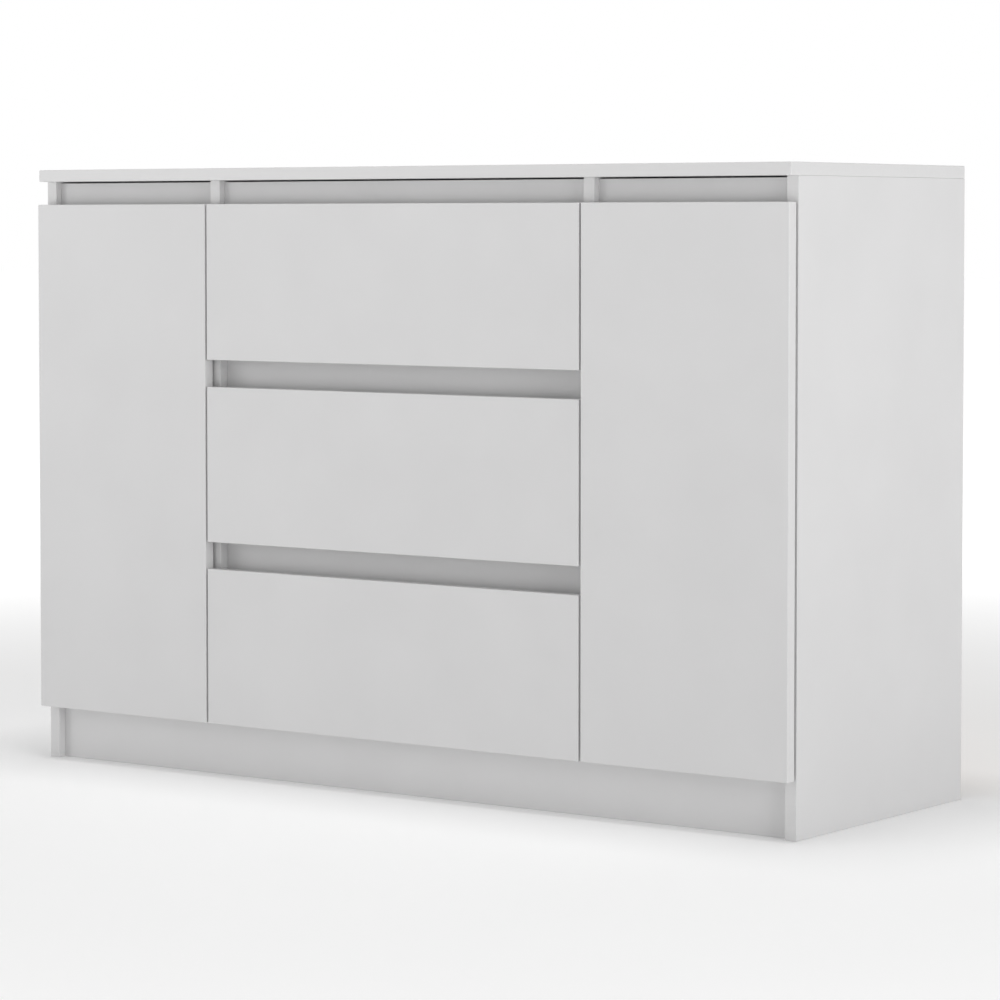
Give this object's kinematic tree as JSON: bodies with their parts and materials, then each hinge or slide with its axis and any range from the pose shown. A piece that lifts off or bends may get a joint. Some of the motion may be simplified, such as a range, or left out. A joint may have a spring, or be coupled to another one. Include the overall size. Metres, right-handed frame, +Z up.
{
  "type": "sideboard",
  "caption": "Low white sideboard on a recessed plinth with a handleless door at each end and a bank of drawers between, opened by finger gaps above the fronts.",
  "frame": {"origin": "on the floor, midway along the width and midway between the door faces and the back edges", "axes": "+X along the width to the right as seen from the front, +Y from the front to the back, +Z up; the doors and drawers face -Y"},
  "size_m": [1.2, 0.42, 0.805],
  "materials": {
    "white_board": "matte white laminated chipboard",
    "white_hardboard": "white painted hardboard",
    "beech": "bare beech",
    "zinc_steel": "bright zinc-plated steel",
    "white_steel": "white powder-coated steel",
    "roller_plastic": "white nylon",
    "clear_rubber": "translucent soft stop"
  },
  "bodies": {
    "carcass": {"top_panel": "white_board", "side_panel_left": "white_board", "side_panel_right": "white_board", "divider_left": "white_board", "divider_right": "white_board", "bottom_panel": "white_board", "plinth_front": "white_board", "plinth_back": "white_board", "top_rail_left": "white_board", "top_rail_centre": "white_board", "top_rail_right": "white_board", "drawer_rail_upper": "white_board", "drawer_rail_lower": "white_board", "back_panel_left": "white_hardboard", "back_panel_centre": "white_hardboard", "back_panel_right": "white_hardboard", "shelf_lower_left": "white_board", "shelf_upper_left": "white_board", "shelf_lower_right": "white_board", "shelf_upper_right": "white_board", "shelf_pins": "zinc_steel", "cam_locks": "zinc_steel", "cam_bolts": "zinc_steel", "dowels": "beech", "back_nails": "zinc_steel", "cabinet_runners_left": "white_steel", "cabinet_runners_right": "white_steel", "hardware_screws": "zinc_steel", "hinge_plates": "zinc_steel", "hinge_arms": "zinc_steel", "hinge_pins": "zinc_steel", "door_bumpers": "clear_rubber"},
    "door_left": {"door_left": "white_board", "hinge_cups_left": "zinc_steel"},
    "door_right": {"door_right": "white_board", "hinge_cups_right": "zinc_steel"},
    "drawer_1": {"drawer_1_front": "white_board", "drawer_1_side_left": "white_board", "drawer_1_side_right": "white_board", "drawer_1_back": "white_board", "drawer_1_bottom": "white_hardboard", "drawer_1_runners": "white_steel"},
    "cabinet_rollers_1": {"cabinet_rollers_1": "roller_plastic"},
    "drawer_rollers_1": {"drawer_rollers_1": "roller_plastic"},
    "drawer_2": {"drawer_2_front": "white_board", "drawer_2_side_left": "white_board", "drawer_2_side_right": "white_board", "drawer_2_back": "white_board", "drawer_2_bottom": "white_hardboard", "drawer_2_runners": "white_steel"},
    "cabinet_rollers_2": {"cabinet_rollers_2": "roller_plastic"},
    "drawer_rollers_2": {"drawer_rollers_2": "roller_plastic"},
    "drawer_3": {"drawer_3_front": "white_board", "drawer_3_side_left": "white_board", "drawer_3_side_right": "white_board", "drawer_3_back": "white_board", "drawer_3_bottom": "white_hardboard", "drawer_3_runners": "white_steel"},
    "cabinet_rollers_3": {"cabinet_rollers_3": "roller_plastic"},
    "drawer_rollers_3": {"drawer_rollers_3": "roller_plastic"}
  },
  "joints": [
    {"name": "door_left_swing", "type": "hinge", "parent": "carcass", "child": "door_left", "pos_m": [-0.5912, -0.2022, 0.415], "axis": [0, 0, -1], "range_deg": [0, 100]},
    {"name": "door_right_swing", "type": "hinge", "parent": "carcass", "child": "door_right", "pos_m": [0.5912, -0.2022, 0.415], "axis": [0, 0, 1], "range_deg": [0, 100]},
    {"name": "drawer_1_slide", "type": "slide", "parent": "carcass", "child": "drawer_1", "axis": [0, -1, 0], "range_m": [0, 0.26]},
    {"name": "cabinet_rollers_1_turn", "type": "hinge", "parent": "carcass", "child": "cabinet_rollers_1", "pos_m": [0, -0.174, 0.588], "axis": [1, 0, 0], "range_deg": [0, 1560]},
    {"name": "drawer_rollers_1_turn", "type": "hinge", "parent": "drawer_1", "child": "drawer_rollers_1", "pos_m": [0, 0.142, 0.5868], "axis": [1, 0, 0], "range_deg": [0, 1560]},
    {"name": "drawer_2_slide", "type": "slide", "parent": "carcass", "child": "drawer_2", "axis": [0, -1, 0], "range_m": [0, 0.26]},
    {"name": "cabinet_rollers_2_turn", "type": "hinge", "parent": "carcass", "child": "cabinet_rollers_2", "pos_m": [0, -0.174, 0.3475], "axis": [1, 0, 0], "range_deg": [0, 1560]},
    {"name": "drawer_rollers_2_turn", "type": "hinge", "parent": "drawer_2", "child": "drawer_rollers_2", "pos_m": [0, 0.142, 0.3463], "axis": [1, 0, 0], "range_deg": [0, 1560]},
    {"name": "drawer_3_slide", "type": "slide", "parent": "carcass", "child": "drawer_3", "axis": [0, -1, 0], "range_m": [0, 0.26]},
    {"name": "cabinet_rollers_3_turn", "type": "hinge", "parent": "carcass", "child": "cabinet_rollers_3", "pos_m": [0, -0.174, 0.107], "axis": [1, 0, 0], "range_deg": [0, 1560]},
    {"name": "drawer_rollers_3_turn", "type": "hinge", "parent": "drawer_3", "child": "drawer_rollers_3", "pos_m": [0, 0.142, 0.1058], "axis": [1, 0, 0], "range_deg": [0, 1560]}
  ],
  "couplings": [
    {"joint": "cabinet_rollers_1_turn", "follows": "drawer_1_slide", "rad_per_m": 104.17},
    {"joint": "drawer_rollers_1_turn", "follows": "drawer_1_slide", "rad_per_m": 104.17},
    {"joint": "cabinet_rollers_2_turn", "follows": "drawer_2_slide", "rad_per_m": 104.17},
    {"joint": "drawer_rollers_2_turn", "follows": "drawer_2_slide", "rad_per_m": 104.17},
    {"joint": "cabinet_rollers_3_turn", "follows": "drawer_3_slide", "rad_per_m": 104.17},
    {"joint": "drawer_rollers_3_turn", "follows": "drawer_3_slide", "rad_per_m": 104.17}
  ]
}
